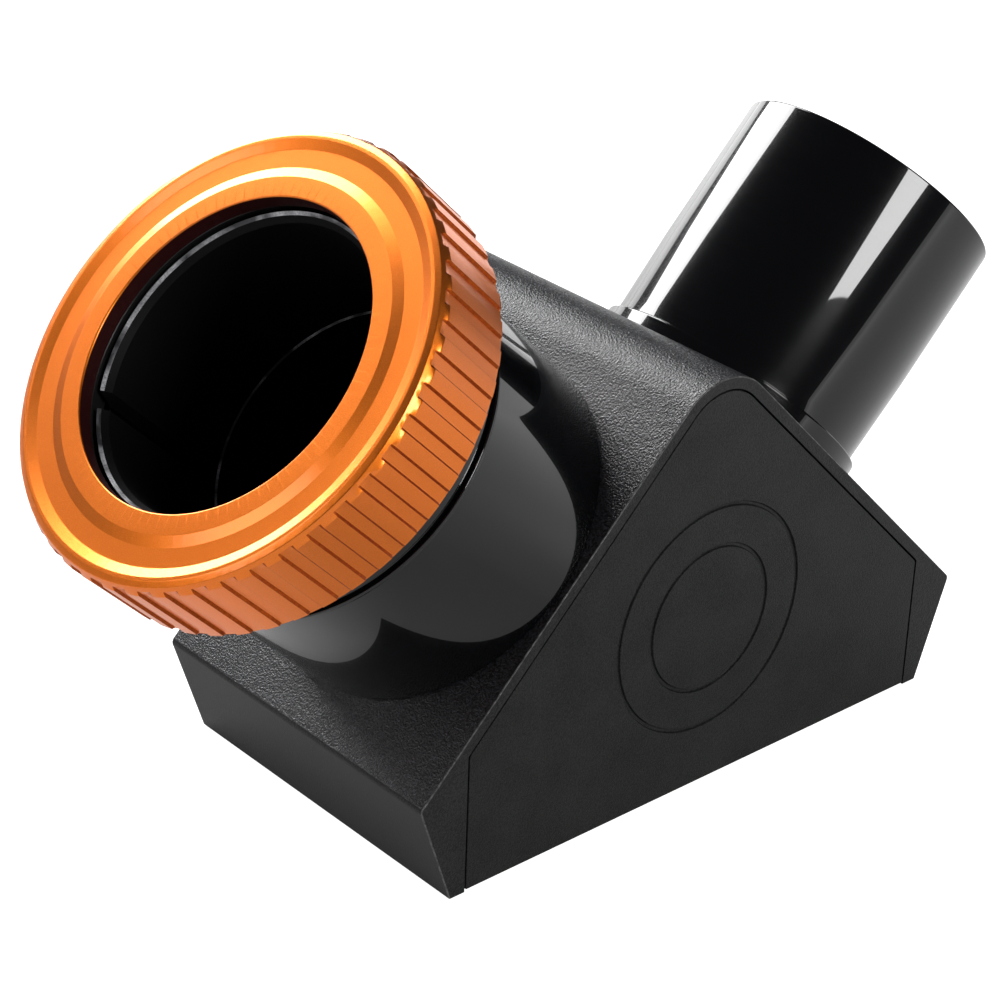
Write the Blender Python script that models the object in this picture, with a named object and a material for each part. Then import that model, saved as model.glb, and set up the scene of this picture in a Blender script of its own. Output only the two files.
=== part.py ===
"""A two-inch mirror star diagonal with a twist-lock eyepiece holder, as an assembly of its pieces.

The body is a right-angled prism that stands on its long side. The eyepiece axis and the
nosepiece axis each rise at 45 degrees and cross on the face of the mirror. The origin is the
centre of the base: +X points to the nosepiece side, +Y across the width, and +Z up.
Dimensions below are in millimetres.
"""

import math

import bmesh
import bpy
from mathutils import Euler, Vector

MM = 0.001
GAP = 0.3

# Body prism
HALF_HYPOTENUSE = 82.6
HALF_WIDTH = 34.1
CUT_ALONG_BASE = 26.2
CUT_HEIGHT = 19.6
APEX_RADIUS = 11.7
CORNER_RADIUS = 1.2
OVERCUT = 1.0
EDGE_BEVEL = 0.2
LEG_WALL = 6.0
MIRROR_Z = 15.2
CAVITY_HALF_WIDTH = 27.0
CAVITY_HALF_LENGTH = 46.0
CAVITY_PEAK_FLAT = 3.0

# Side covers
COVER_INSET = 2.3
COVER_END_X = 53.1
COVER_SEAM = 0.35
COVER_THICKNESS = 2.0
COVER_LIFT = 0.45
COVER_CORNER = 0.8
MEDALLION_Z = 33.0
MEDALLION_RADII = (21.0, 13.5)
MEDALLION_GROOVE = (0.7, 0.45)

# Mirror cell, from the base up
BASE_PLATE = (50.0, 29.5, 2.7)
PAD = (41.0, 25.5, 2.9)
MIRROR = (42.5, 26.6, 9.0)
GASKET_THICKNESS = 1.0
WINDOW = (39.0, 24.5)
LEDGE_THICKNESS = 3.0
BASE_SCREW_X = 46.5
BASE_SCREW_Y = 20.0
BASE_SCREW_RADIUS = 1.3
BASE_SCREW_HEAD = 2.8
BASE_SCREW_TOP = 9.8
BASE_SCREW_SINK = 0.2
SOCKET_RADIUS = 1.0
SOCKET_DEPTH = 1.2
POINT_CHAMFER = 0.4

# Tubes, measured along their axes from the crossing point on the mirror
LEG_FACE = (HALF_HYPOTENUSE - MIRROR_Z) / math.sqrt(2.0)
SPIGOT_START = LEG_FACE - LEG_WALL + 0.25
EDGE_CHAMFER = 0.4
HOLDER_RADIUS = 33.0
HOLDER_SPIGOT = 29.0
EYEPIECE_BORE = 25.6
EYEPIECE_STOP_BORE = 24.2
EYEPIECE_STOP = 50.0
LIP_RADIUS = 34.4
LIP_TOP = 88.2
LIP_EDGE = 83.6
LIP_NECK = 81.0
LIP_GROOVE_RADIUS = 32.2
BEAD = 0.35
NECK_RADIUS = 31.5
NECK_TOP = 97.5
COLLET_SEAT_RADIUS = 29.3
COLLET_SEAT = 73.0
BORE_CHAMFER = 0.6
NOSE_RADIUS = 25.4
NOSE_END = 98.3
NOSE_BORE = 23.0
NOSE_FILTER_BORE = 24.0
NOSE_FILTER_DEPTH = 6.0
NOSE_FILTER_STEP = 0.6
NOSE_SPIGOT = 24.6
NOSE_FLANGE = 26.3
NOSE_FLANGE_HEIGHT = 5.0
NOSE_TAPER_START = 70.0
NOSE_LAND = 2.2
NOSE_ROOT_RADIUS = 25.05
GRUB_RADIUS = 1.25
GRUB_DROP = 3.9
GRUB_DEPTH = 31.5
GRUB_SOCKET = (0.75, 1.2)
GRUB_POINT = 0.3

# Twist lock
COLLAR_REAR = 90.4
COLLAR_FRONT = 107.4
COLLAR_TOOTH = 40.0
COLLAR_ROOT = 39.55
COLLAR_OPENING = 27.2
COLLAR_TEETH = 48
COLLAR_SHOULDER = 104.3
COLLAR_PHASE = 0.9
TOOTH_END = 1.0
TOOTH_CHAMFER = 0.85
REAR_RADIUS = 39.35
REAR_CHAMFER = 0.6
FACE_STEPS = (30.8, 32.65, 35.9, 37.6)
FACE_VALLEY = 0.5
OPENING_CHAMFER = 0.3
RIM_EDGE = 38.2
RIM_RADIUS = 39.2
RIM_CHAMFER = 0.35
COLLAR_THREAD_BORE = 31.8
COLLAR_REAR_BORE = 32.6
COLLAR_REAR_STEP = 93.5
COLLET_OUTER = 29.0
COLLET_BORE = 25.75
COLLET_CONE_START = 97.8
COLLET_TIP = (27.1, 103.2)
COLLET_LEAD_IN = 1.25
SLIP_CLEARANCE = 0.75
SLIP_WALL = 1.1
SLIP_SPAN = (98.9, 104.0)
SLIT_ANGLE = 125.5
SLIT_WIDTH = 3.2
RING_SECTION = 0.9
RING_CENTRE = (31.35, 91.4)
STOP_PIN_S = 95.4
STOP_PIN_RADIUS = 0.9
STOP_PIN_SPAN = (29.6, 33.2)
STOP_PIN_ANGLE = 200.0
LOCK_TURN = 90.0
LOCK_ADVANCE = 1.0

TUBE_SEGMENTS = 60
RING_SEGMENTS = 40
SMALL_SEGMENTS = 12
RING_SIDES = 6


def clear_scene():
    for obj in list(bpy.data.objects):
        bpy.data.objects.remove(obj, do_unlink=True)


def material(name, colour, roughness, metallic=0.0):
    made = bpy.data.materials.new(name)
    made.use_nodes = True
    shader = made.node_tree.nodes["Principled BSDF"]
    shader.inputs["Base Color"].default_value = (*colour, 1.0)
    shader.inputs["Roughness"].default_value = roughness
    shader.inputs["Metallic"].default_value = metallic
    return made


def empty(name, location=(0.0, 0.0, 0.0), tilt=0.0):
    """A reference axis: its local Z leans from vertical by tilt degrees, towards +X."""
    axis = bpy.data.objects.new(name, None)
    axis.location = Vector(location) * MM
    axis.rotation_euler = Euler((0.0, math.radians(tilt), 0.0))
    bpy.context.scene.collection.objects.link(axis)
    return axis


def add_object(name, mesh, finish, parent=None):
    obj = bpy.data.objects.new(name, mesh)
    bpy.context.scene.collection.objects.link(obj)
    if finish is not None and not mesh.materials:
        mesh.materials.append(finish)
    obj.parent = parent
    return obj


def mesh_from(bm, name, smooth_angle=None):
    bmesh.ops.recalc_face_normals(bm, faces=bm.faces)
    mesh = bpy.data.meshes.new(name)
    bm.to_mesh(mesh)
    bm.free()
    if smooth_angle is not None:
        mesh.shade_smooth()
        mesh.set_sharp_from_angle(angle=math.radians(smooth_angle))
    return mesh


def turned_mesh(name, profile, segments):
    """A profile of (radius, height) points, closed, spun once round local Z."""
    bm = bmesh.new()
    points = [bm.verts.new((radius * MM, 0.0, height * MM)) for radius, height in profile]
    edges = [bm.edges.new((a, b)) for a, b in zip(points, points[1:] + points[:1])]
    bmesh.ops.spin(
        bm,
        geom=points + edges,
        cent=(0.0, 0.0, 0.0),
        axis=(0.0, 0.0, 1.0),
        angle=2.0 * math.pi,
        steps=segments,
        use_merge=True,
    )
    bmesh.ops.remove_doubles(bm, verts=bm.verts, dist=1e-7)
    return mesh_from(bm, name, smooth_angle=30.0)


def prism_mesh(name, outline, near, far):
    """An (x, z) outline extruded along Y from near to far."""
    bm = bmesh.new()
    face = bm.faces.new([bm.verts.new((x * MM, near * MM, z * MM)) for x, z in outline])
    swept = bmesh.ops.extrude_face_region(bm, geom=[face])
    moved = [item for item in swept["geom"] if isinstance(item, bmesh.types.BMVert)]
    bmesh.ops.translate(bm, verts=moved, vec=(0.0, (far - near) * MM, 0.0))
    return mesh_from(bm, name)


def box_mesh(name, half_x, half_y, low, high):
    outline = ((-half_x, low), (half_x, low), (half_x, high), (-half_x, high))
    return prism_mesh(name, outline, -half_y, half_y)


def cylinder_mesh(name, radius, low, high, segments=SMALL_SEGMENTS):
    bm = bmesh.new()
    bmesh.ops.create_cone(
        bm,
        cap_ends=True,
        segments=segments,
        radius1=radius * MM,
        radius2=radius * MM,
        depth=(high - low) * MM,
    )
    bmesh.ops.translate(bm, verts=bm.verts, vec=(0.0, 0.0, (low + high) / 2.0 * MM))
    return mesh_from(bm, name)


def cutter(name, mesh, parent=None):
    tool = add_object(name, mesh, None, parent)
    tool.hide_render = True
    tool.display_type = "WIRE"
    return tool


def cut(obj, tool):
    step = obj.modifiers.new(tool.name, "BOOLEAN")
    step.operation = "DIFFERENCE"
    step.solver = "EXACT"
    step.object = tool


def fillet(before, corner, after, radius, steps):
    """Points of the arc of this radius that rounds a corner of an outline."""
    corner = Vector(corner)
    back = (Vector(before) - corner).normalized()
    ahead = (Vector(after) - corner).normalized()
    half = back.angle(ahead) / 2.0
    centre = corner + (back + ahead).normalized() * radius / math.sin(half)
    start = corner + back * radius / math.tan(half) - centre
    turn = math.pi - 2.0 * half
    if back.x * ahead.y - back.y * ahead.x > 0.0:
        turn = -turn
    arc = []
    for step in range(steps + 1):
        angle = turn * step / steps
        arc.append(
            (
                centre.x + start.x * math.cos(angle) - start.y * math.sin(angle),
                centre.y + start.x * math.sin(angle) + start.y * math.cos(angle),
            )
        )
    return arc


def rounded(corners):
    """An outline from (x, z, radius, steps) corners; a radius of 0 leaves the corner sharp."""
    outline = []
    for index, (x, z, radius, steps) in enumerate(corners):
        before = corners[index - 1][:2]
        after = corners[(index + 1) % len(corners)][:2]
        if radius:
            outline += fillet(before, (x, z), after, radius, steps)
        else:
            outline.append((x, z))
    return outline


def body_outline():
    base_x = HALF_HYPOTENUSE - CUT_ALONG_BASE
    corner_x = HALF_HYPOTENUSE - CUT_HEIGHT
    return rounded(
        [
            (-base_x, 0.0, 0.0, 0),
            (base_x, 0.0, 0.0, 0),
            (corner_x, CUT_HEIGHT, CORNER_RADIUS, 3),
            (0.0, HALF_HYPOTENUSE, APEX_RADIUS, 12),
            (-corner_x, CUT_HEIGHT, CORNER_RADIUS, 3),
        ]
    )


def cover_outline(offset, bottom):
    """The side cover's outline, grown by offset beyond the middle of its seam."""
    end_x = COVER_END_X + offset
    peak = HALF_HYPOTENUSE - (COVER_INSET - offset) * math.sqrt(2.0)
    return rounded(
        [
            (-end_x, bottom, 0.0, 0),
            (end_x, bottom, 0.0, 0),
            (end_x, peak - end_x, COVER_CORNER, 2),
            (0.0, peak, APEX_RADIUS - COVER_INSET + offset, 12),
            (-end_x, peak - end_x, COVER_CORNER, 2),
        ]
    )


def cavity_outline():
    peak = HALF_HYPOTENUSE - LEG_WALL * math.sqrt(2.0)
    floor = ledge_top() - 0.5
    flat = CAVITY_PEAK_FLAT
    return (
        (-CAVITY_HALF_LENGTH, floor),
        (CAVITY_HALF_LENGTH, floor),
        (CAVITY_HALF_LENGTH, peak - CAVITY_HALF_LENGTH),
        (flat, peak - flat),
        (-flat, peak - flat),
        (-CAVITY_HALF_LENGTH, peak - CAVITY_HALF_LENGTH),
    )


def ledge_bottom():
    return MIRROR_Z + GAP + GASKET_THICKNESS + GAP


def ledge_top():
    return ledge_bottom() + LEDGE_THICKNESS


def build_body(finish, eyepiece_axis, nose_axis):
    body = add_object(
        "body_frame", prism_mesh("body_frame", body_outline(), -HALF_WIDTH, HALF_WIDTH), finish
    )
    bevel = body.modifiers.new("edge_bevel", "BEVEL")
    bevel.width = EDGE_BEVEL * MM
    bevel.segments = 1
    bevel.limit_method = "ANGLE"
    bevel.angle_limit = math.radians(40.0)

    width = CAVITY_HALF_WIDTH
    cut(body, cutter("cavity_tool", prism_mesh("cavity_tool", cavity_outline(), -width, width)))
    window = box_mesh("window_tool", *WINDOW, ledge_bottom() - OVERCUT, ledge_top() + OVERCUT)
    cut(body, cutter("window_tool", window))
    pocket = box_mesh("pocket_tool", MIRROR[0] + 0.5, width, 1.0, ledge_bottom())
    cut(body, cutter("mirror_pocket_tool", pocket))
    recess = box_mesh("recess_tool", BASE_PLATE[0] + GAP, BASE_PLATE[1] + GAP, -1.0, base_ceiling())
    cut(body, cutter("base_recess_tool", recess))

    for label, axis, radius in (
        ("holder", eyepiece_axis, HOLDER_SPIGOT + GAP),
        ("nose", nose_axis, NOSE_SPIGOT + GAP),
    ):
        name = label + "_socket_tool"
        low, high = LEG_FACE - LEG_WALL - OVERCUT, LEG_FACE + LEG_WALL
        bore = cylinder_mesh(name, radius, low, high, TUBE_SEGMENTS)
        cut(body, cutter(name, bore, axis))
        for side in (-1, 1):
            name = f"{label}_grub_tool_{'near' if side < 0 else 'far'}"
            hole = cylinder_mesh(name, GRUB_RADIUS + GAP, radius - 2.0, HALF_WIDTH)
            tool = cutter(name, hole, axis)
            tool.location = (0.0, 0.0, grub_height() * MM)
            tool.rotation_euler = Euler((-side * math.pi / 2.0, 0.0, 0.0))
            cut(body, tool)

    floor = cover_floor()
    for side in (-1, 1):
        name = "cover_pocket_tool_" + ("near" if side < 0 else "far")
        outline = cover_outline(COVER_SEAM / 2.0, -2.0)
        reach = sorted((side * floor, side * (HALF_WIDTH + 2.0)))
        cut(body, cutter(name, prism_mesh(name, outline, *reach)))
    for number, (x, y) in enumerate(base_screw_places(), 1):
        name = f"base_screw_tool_{number}"
        top = BASE_SCREW_TOP + 2.0 * GAP
        hole = cutter(name, cylinder_mesh(name, BASE_SCREW_RADIUS + GAP, 1.0, top))
        hole.location = Vector((x, y, 0.0)) * MM
        cut(body, hole)


def cover_floor():
    return HALF_WIDTH - COVER_THICKNESS - GAP


def base_ceiling():
    return BASE_PLATE[2] + GAP


def grub_height():
    return LEG_FACE - GRUB_DROP


def base_screw_places():
    return [(x, y) for x in (-BASE_SCREW_X, BASE_SCREW_X) for y in (-BASE_SCREW_Y, BASE_SCREW_Y)]


def build_covers(finish):
    """Two equal covers: the far one is the near one turned half round Z."""
    outline = cover_outline(-COVER_SEAM / 2.0, COVER_LIFT)
    near = -HALF_WIDTH
    mesh = prism_mesh("side_cover", outline, near, near + COVER_THICKNESS)
    mesh.materials.append(finish)
    width, depth = MEDALLION_GROOVE
    for name, turn in (("side_cover_near", 0.0), ("side_cover_far", math.pi)):
        cover = add_object(name, mesh, finish)
        cover.rotation_euler = Euler((0.0, 0.0, turn))
        for radius in MEDALLION_RADII:
            label = f"{name}_ring_tool_{radius:.0f}"
            ring = [
                (radius - width / 2.0, -1.0),
                (radius + width / 2.0, -1.0),
                (radius + width / 2.0, depth),
                (radius - width / 2.0, depth),
            ]
            tool = cutter(label, turned_mesh(label, ring, RING_SEGMENTS), cover)
            tool.location = Vector((0.0, near, MEDALLION_Z)) * MM
            tool.rotation_euler = Euler((-math.pi / 2.0, 0.0, 0.0))
            cut(cover, tool)


def build_mirror_cell(plate_finish, pad_finish, glass_finish, gasket_finish, screw_finish):
    half_x, half_y, thickness = BASE_PLATE
    slab = box_mesh("base_plate", half_x, half_y, 0.0, thickness)
    plate = add_object("base_plate", slab, plate_finish)
    head = BASE_SCREW_HEAD + GAP
    shank = BASE_SCREW_RADIUS + GAP
    sink = [(0.0, -1.0), (head + 1.0, -1.0), (shank, head - shank), (shank, 5.0), (0.0, 5.0)]
    for number, (x, y) in enumerate(base_screw_places(), 1):
        name = f"countersink_tool_{number}"
        tool = cutter(name, turned_mesh(name, sink, SMALL_SEGMENTS))
        tool.location = Vector((x, y, 0.0)) * MM
        cut(plate, tool)

    level = base_ceiling()
    pad = box_mesh("mirror_pad", PAD[0], PAD[1], level, level + PAD[2])
    add_object("mirror_pad", pad, pad_finish)
    mirror = box_mesh("mirror", MIRROR[0], MIRROR[1], MIRROR_Z - MIRROR[2], MIRROR_Z)
    add_object("mirror", mirror, glass_finish)
    low = MIRROR_Z + GAP
    sheet = box_mesh("mirror_gasket", MIRROR[0], MIRROR[1], low, low + GASKET_THICKNESS)
    gasket = add_object("mirror_gasket", sheet, gasket_finish)
    cut(gasket, cutter("gasket_tool", box_mesh("gasket_tool", *WINDOW, low - 1.0, low + 3.0)))

    screw = turned_mesh("base_screw", base_screw_profile(), SMALL_SEGMENTS)
    for number, (x, y) in enumerate(base_screw_places(), 1):
        fastener = add_object(f"base_screw_{number}", screw, screw_finish)
        fastener.location = Vector((x, y, 0.0)) * MM


def base_screw_profile():
    """Countersunk, head down, with a socket in the head."""
    low = BASE_SCREW_SINK
    neck = low + BASE_SCREW_HEAD - BASE_SCREW_RADIUS
    return [
        (0.0, low + SOCKET_DEPTH),
        (SOCKET_RADIUS, low + SOCKET_DEPTH),
        (SOCKET_RADIUS, low),
        (BASE_SCREW_HEAD, low),
        (BASE_SCREW_RADIUS, neck),
        (BASE_SCREW_RADIUS, BASE_SCREW_TOP - POINT_CHAMFER),
        (BASE_SCREW_RADIUS - POINT_CHAMFER, BASE_SCREW_TOP),
        (0.0, BASE_SCREW_TOP),
    ]


def build_holder(finish, axis):
    top = LIP_TOP
    groove_low = RING_CENTRE[1] - RING_SECTION - GAP
    groove_high = RING_CENTRE[1] + RING_SECTION + GAP
    groove_root = RING_CENTRE[0] - RING_SECTION - GAP / 2.0
    face = LEG_FACE + GAP
    profile = [
        (EYEPIECE_STOP_BORE, SPIGOT_START),
        (EYEPIECE_STOP_BORE, EYEPIECE_STOP),
        (EYEPIECE_BORE, EYEPIECE_STOP),
        (EYEPIECE_BORE, COLLET_SEAT - BORE_CHAMFER),
        (EYEPIECE_BORE + BORE_CHAMFER, COLLET_SEAT),
        (COLLET_SEAT_RADIUS, COLLET_SEAT),
        (COLLET_SEAT_RADIUS, NECK_TOP),
        (NECK_RADIUS - EDGE_CHAMFER, NECK_TOP),
        (NECK_RADIUS, NECK_TOP - EDGE_CHAMFER),
        (NECK_RADIUS, groove_high),
        (groove_root, groove_high),
        (groove_root, groove_low),
        (NECK_RADIUS, groove_low),
        (NECK_RADIUS, top),
        (LIP_RADIUS - EDGE_CHAMFER, top),
        (LIP_RADIUS, top - EDGE_CHAMFER),
        (LIP_RADIUS, LIP_EDGE),
        (LIP_GROOVE_RADIUS, LIP_EDGE),
        (LIP_GROOVE_RADIUS, LIP_NECK),
        (HOLDER_RADIUS + BEAD, LIP_NECK),
        (HOLDER_RADIUS + BEAD, LIP_NECK - 1.5 * BEAD),
        (HOLDER_RADIUS, LIP_NECK - 3.0 * BEAD),
        (HOLDER_RADIUS, face),
        (HOLDER_SPIGOT, face),
        (HOLDER_SPIGOT, SPIGOT_START),
    ]
    tube = turned_mesh("eyepiece_holder", profile, TUBE_SEGMENTS)
    holder = add_object("eyepiece_holder", tube, finish, axis)
    through = (HOLDER_SPIGOT - OVERCUT, HOLDER_RADIUS)
    hole = cutter("stop_pin_tool", radial_pin_mesh("stop_pin_tool", STOP_PIN_RADIUS + GAP, *through), axis)
    place_stop_pin(hole)
    cut(holder, hole)


def radial_pin_mesh(name, radius, inner, outer):
    """A pin that lies along local X, from inner to outer."""
    mesh = cylinder_mesh(name, radius, inner, outer, 12)
    mesh.transform(Euler((0.0, math.pi / 2.0, 0.0)).to_matrix().to_4x4())
    return mesh


def place_stop_pin(obj):
    obj.location = (0.0, 0.0, STOP_PIN_S * MM)
    obj.rotation_euler = Euler((0.0, 0.0, math.radians(STOP_PIN_ANGLE)))


def build_nosepiece(finish, axis):
    face = LEG_FACE + GAP
    shoulder = LEG_FACE + NOSE_FLANGE_HEIGHT
    profile = [
        (NOSE_BORE, SPIGOT_START),
        (NOSE_BORE, NOSE_END - NOSE_FILTER_DEPTH - NOSE_FILTER_STEP),
        (NOSE_FILTER_BORE, NOSE_END - NOSE_FILTER_DEPTH),
        (NOSE_FILTER_BORE, NOSE_END - EDGE_CHAMFER),
        (NOSE_FILTER_BORE + EDGE_CHAMFER, NOSE_END),
        (NOSE_RADIUS - EDGE_CHAMFER, NOSE_END),
        (NOSE_RADIUS, NOSE_END - EDGE_CHAMFER),
        (NOSE_RADIUS, NOSE_TAPER_START),
        (NOSE_ROOT_RADIUS, shoulder + NOSE_LAND),
        (NOSE_ROOT_RADIUS, shoulder),
        (NOSE_FLANGE - EDGE_CHAMFER, shoulder),
        (NOSE_FLANGE, shoulder - EDGE_CHAMFER),
        (NOSE_FLANGE, face),
        (NOSE_SPIGOT, face),
        (NOSE_SPIGOT, SPIGOT_START),
    ]
    add_object("nosepiece", turned_mesh("nosepiece", profile, TUBE_SEGMENTS), finish, axis)


def build_grub_screws(finish, axis, label, spigot):
    """Cup-point screws that lock a tube's spigot, one in each side wall, hidden by the covers."""
    inner = spigot + GAP
    socket_radius, socket_depth = GRUB_SOCKET
    profile = [
        (0.0, inner),
        (GRUB_RADIUS - GRUB_POINT, inner),
        (GRUB_RADIUS, inner + GRUB_POINT),
        (GRUB_RADIUS, GRUB_DEPTH),
        (socket_radius, GRUB_DEPTH),
        (socket_radius, GRUB_DEPTH - socket_depth),
        (0.0, GRUB_DEPTH - socket_depth),
    ]
    mesh = turned_mesh(label + "_grub_screw", profile, SMALL_SEGMENTS)
    for side, word in ((-1, "near"), (1, "far")):
        screw = add_object(f"{label}_grub_screw_{word}", mesh, finish, axis)
        screw.location = (0.0, 0.0, grub_height() * MM)
        screw.rotation_euler = Euler((-side * math.pi / 2.0, 0.0, 0.0))


def collet_radius(height):
    """Outer radius of the collet's cone, carried on past its tip."""
    run = COLLET_TIP[1] - COLLET_CONE_START
    return COLLET_OUTER + (COLLET_TIP[0] - COLLET_OUTER) * (height - COLLET_CONE_START) / run


def build_collet(finish, axis):
    tip_radius, tip = COLLET_TIP
    profile = [
        (COLLET_BORE, COLLET_SEAT + GAP),
        (COLLET_BORE, tip - COLLET_LEAD_IN),
        (COLLET_BORE + COLLET_LEAD_IN, tip),
        (tip_radius, tip),
        (COLLET_OUTER, COLLET_CONE_START),
        (COLLET_OUTER, COLLET_SEAT + GAP),
    ]
    collet = add_object("split_collet", turned_mesh("split_collet", profile, TUBE_SEGMENTS), finish, axis)
    low, high = COLLET_SEAT - OVERCUT, tip + OVERCUT
    near, far = COLLET_BORE - 2.0 * OVERCUT, COLLET_OUTER + OVERCUT
    outline = ((near, low), (far, low), (far, high), (near, high))
    half = SLIT_WIDTH / 2.0
    slit = cutter("slit_tool", prism_mesh("slit_tool", outline, -half, half), axis)
    slit.rotation_euler = Euler((0.0, 0.0, math.radians(SLIT_ANGLE)))
    cut(collet, slit)


def build_slip_ring(finish, axis):
    low, high = SLIP_SPAN
    profile = []
    for height, extra in ((low, 0.0), (low, SLIP_WALL), (high, SLIP_WALL), (high, 0.0)):
        profile.append((collet_radius(height) + SLIP_CLEARANCE + extra, height))
    add_object("slip_ring", turned_mesh("slip_ring", profile, RING_SEGMENTS), finish, axis)


def build_drag_ring(finish, axis):
    radius, height = RING_CENTRE
    profile = []
    for step in range(RING_SIDES):
        angle = 2.0 * math.pi * step / RING_SIDES
        profile.append(
            (radius + RING_SECTION * math.cos(angle), height + RING_SECTION * math.sin(angle))
        )
    add_object("drag_o_ring", turned_mesh("drag_o_ring", profile, RING_SEGMENTS), finish, axis)


def build_stop_pin(finish, axis):
    pin = add_object("stop_pin", radial_pin_mesh("stop_pin", STOP_PIN_RADIUS, *STOP_PIN_SPAN), finish, axis)
    place_stop_pin(pin)


def collar_inner_profile():
    """From the front face in through the opening and out to the rear face."""
    clearance = SLIP_CLEARANCE + SLIP_WALL + GAP
    cone_end = SLIP_SPAN[0] - GAP
    front = COLLAR_FRONT
    return [
        (FACE_STEPS[1] + 1.0, front - FACE_VALLEY),
        (FACE_STEPS[1], front - FACE_VALLEY),
        (FACE_STEPS[0], front),
        (COLLAR_OPENING + OPENING_CHAMFER, front),
        (COLLAR_OPENING, front - OPENING_CHAMFER),
        (COLLAR_OPENING, COLLAR_SHOULDER),
        (collet_radius(COLLAR_SHOULDER) + clearance, COLLAR_SHOULDER),
        (collet_radius(cone_end) + clearance, cone_end),
        (COLLAR_THREAD_BORE, cone_end),
        (COLLAR_THREAD_BORE, COLLAR_REAR_STEP),
        (COLLAR_REAR_BORE, COLLAR_REAR_STEP),
        (COLLAR_REAR_BORE, COLLAR_REAR),
        (COLLAR_REAR_BORE + 2.4, COLLAR_REAR),
    ]


def collar_outer_profile(crest):
    """From the rear face over the grip to the front face, on a tooth or between two teeth."""
    radius = COLLAR_TOOTH if crest else COLLAR_ROOT
    front = COLLAR_FRONT
    return [
        (REAR_RADIUS, COLLAR_REAR),
        (radius, COLLAR_REAR + REAR_CHAMFER),
        (radius, front - TOOTH_END - TOOTH_CHAMFER),
        (COLLAR_ROOT, front - TOOTH_END),
        (RIM_RADIUS, front - RIM_CHAMFER),
        (RIM_EDGE, front),
        (FACE_STEPS[3], front),
        (FACE_STEPS[2], front - FACE_VALLEY),
    ]


def collar_mesh():
    """The grip has four stations to a tooth, and the inside has one."""
    bm = bmesh.new()
    pitch = 2.0 * math.pi / COLLAR_TEETH
    phase = math.radians(COLLAR_PHASE)
    inner, outer = [], []
    for tooth in range(COLLAR_TEETH):
        for share, crest in ((0.0, True), (0.5, True), (0.55, False), (0.95, False)):
            angle = phase + (tooth + share) * pitch
            outer.append(ring_column(bm, collar_outer_profile(crest), angle))
        inner.append(ring_column(bm, collar_inner_profile(), phase + tooth * pitch))
    for columns in (inner, outer):
        for left, right in zip(columns, columns[1:] + columns[:1]):
            for a, b, c, d in zip(left, left[1:], right[1:], right):
                bm.faces.new((a, b, c, d))
    for tooth in range(COLLAR_TEETH):
        here, ahead = inner[tooth], inner[(tooth + 1) % COLLAR_TEETH]
        around = [outer[(4 * tooth + step) % len(outer)] for step in range(5)]
        bm.faces.new([here[-1]] + [column[0] for column in around] + [ahead[-1]])
        bm.faces.new([ahead[0]] + [column[-1] for column in reversed(around)] + [here[0]])
    return mesh_from(bm, "twist_collar", smooth_angle=25.0)


def ring_column(bm, profile, angle):
    direction = Vector((math.cos(angle), math.sin(angle), 0.0))
    column = []
    for radius, height in profile:
        column.append(bm.verts.new((direction * radius + Vector((0.0, 0.0, height))) * MM))
    return column


def build_collar(finish, axis):
    """Right-hand turning towards the body tightens it, so the pin's slot runs the other way."""
    collar = add_object("twist_collar", collar_mesh(), finish, axis)
    margin = math.degrees((STOP_PIN_RADIUS + GAP) / NECK_RADIUS) + 1.0
    low = STOP_PIN_S - STOP_PIN_RADIUS - GAP
    high = STOP_PIN_S + LOCK_ADVANCE + STOP_PIN_RADIUS + GAP
    near, far = COLLAR_THREAD_BORE - 0.8, STOP_PIN_SPAN[1] + 0.8
    outline = ((near, low), (far, low), (far, high), (near, high))
    bm = bmesh.new()
    start = math.radians(STOP_PIN_ANGLE - margin)
    points = []
    for radius, height in outline:
        corner = Vector((radius * math.cos(start), radius * math.sin(start), height))
        points.append(bm.verts.new(corner * MM))
    face = bm.faces.new(points)
    bmesh.ops.spin(
        bm,
        geom=[face],
        cent=(0.0, 0.0, 0.0),
        axis=(0.0, 0.0, 1.0),
        angle=math.radians(LOCK_TURN + 2.0 * margin),
        steps=14,
    )
    cut(collar, cutter("stop_slot_tool", mesh_from(bm, "stop_slot_tool"), axis))


def main():
    clear_scene()
    cast = material("powder_coat", (0.022, 0.022, 0.025), 0.55)
    satin = material("cover_satin", (0.030, 0.031, 0.030), 0.45)
    gloss = material("gloss_black_anodised", (0.008, 0.008, 0.009), 0.08)
    orange = material("orange_anodised", (0.86, 0.27, 0.04), 0.32, 0.9)
    nylon = material("black_nylon", (0.012, 0.012, 0.012), 0.35)
    plate = material("base_black", (0.025, 0.025, 0.026), 0.5)
    glass = material("mirror_glass", (0.9, 0.92, 0.93), 0.03, 1.0)
    felt = material("felt", (0.05, 0.05, 0.055), 0.95)
    rubber = material("rubber", (0.015, 0.015, 0.015), 0.7)
    steel = material("blackened_steel", (0.06, 0.06, 0.06), 0.35, 0.9)

    crossing = (0.0, 0.0, MIRROR_Z)
    eyepiece_axis = empty("eyepiece_axis", crossing, -45.0)
    nose_axis = empty("nosepiece_axis", crossing, 45.0)

    build_body(cast, eyepiece_axis, nose_axis)
    build_covers(satin)
    build_mirror_cell(plate, felt, glass, rubber, steel)
    build_holder(gloss, eyepiece_axis)
    build_nosepiece(gloss, nose_axis)
    build_grub_screws(steel, eyepiece_axis, "holder", HOLDER_SPIGOT)
    build_grub_screws(steel, nose_axis, "nosepiece", NOSE_SPIGOT)
    build_collet(nylon, eyepiece_axis)
    build_slip_ring(nylon, eyepiece_axis)
    build_drag_ring(rubber, eyepiece_axis)
    build_stop_pin(steel, eyepiece_axis)
    build_collar(orange, eyepiece_axis)


main()
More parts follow.
